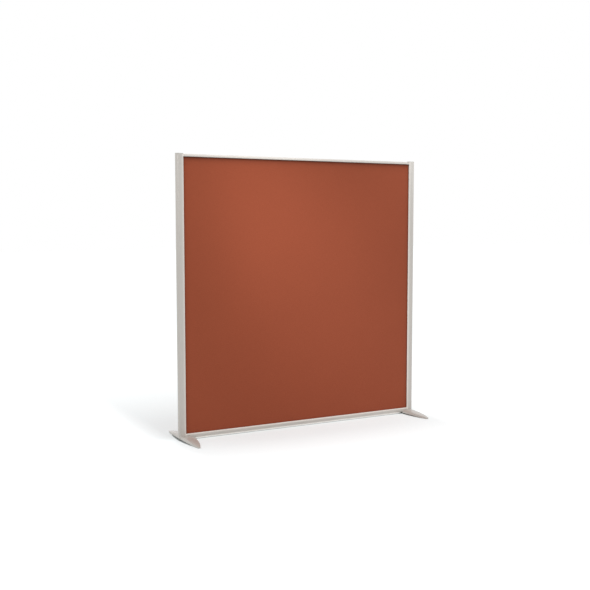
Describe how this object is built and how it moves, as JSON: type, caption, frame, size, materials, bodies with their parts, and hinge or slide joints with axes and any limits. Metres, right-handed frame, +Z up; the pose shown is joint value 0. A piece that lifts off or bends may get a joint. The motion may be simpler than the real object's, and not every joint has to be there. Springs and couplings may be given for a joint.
{
  "type": "acoustic divider screen",
  "caption": "Free-standing acoustic divider screen: a fabric-covered sound-absorbing panel in a slim round-edged aluminium frame, on two arched leaf-shaped feet.",
  "frame": {"origin": "on the floor under the middle of the screen", "axes": "+Z up, +X to the right and -Y towards a viewer in front of the screen; the panel's thickness runs along Y"},
  "size_m": [1.5, 0.42, 1.5],
  "materials": {
    "satin_aluminium": "satin silver paint",
    "cast_foot": "satin silver paint on a casting",
    "cap_plastic": "matte grey",
    "packer_plastic": "matte black",
    "zinc_steel": "bright zinc",
    "dark_steel": "black oxide",
    "pad_rubber": "matte",
    "pine": "planed",
    "beech": "turned",
    "hardboard": "smooth",
    "felt": "needled felt",
    "rust_fabric": "woven, terracotta"
  },
  "bodies": {
    "root": {"left_post": "satin_aluminium", "right_post": "satin_aluminium", "top_rail": "satin_aluminium", "bottom_rail": "satin_aluminium", "left_post_cap": "cap_plastic", "right_post_cap": "cap_plastic", "left_foot": "cast_foot", "right_foot": "cast_foot", "left_foot_pads": "pad_rubber", "right_foot_pads": "pad_rubber", "left_post_insert": "zinc_steel", "right_post_insert": "zinc_steel", "foot_bolts": "dark_steel", "foot_washers": "zinc_steel", "top_left_bracket": "zinc_steel", "top_right_bracket": "zinc_steel", "bottom_left_bracket": "zinc_steel", "bottom_right_bracket": "zinc_steel", "bracket_screws": "dark_steel", "panel_left_stile": "pine", "panel_right_stile": "pine", "panel_top_batten": "pine", "panel_bottom_batten": "pine", "panel_dowels": "beech", "centre_board": "hardboard", "front_absorber": "felt", "rear_absorber": "felt", "front_fabric": "rust_fabric", "rear_fabric": "rust_fabric", "bottom_packers": "packer_plastic", "side_packers": "packer_plastic", "top_packers": "packer_plastic"}
  },
  "joints": []
}
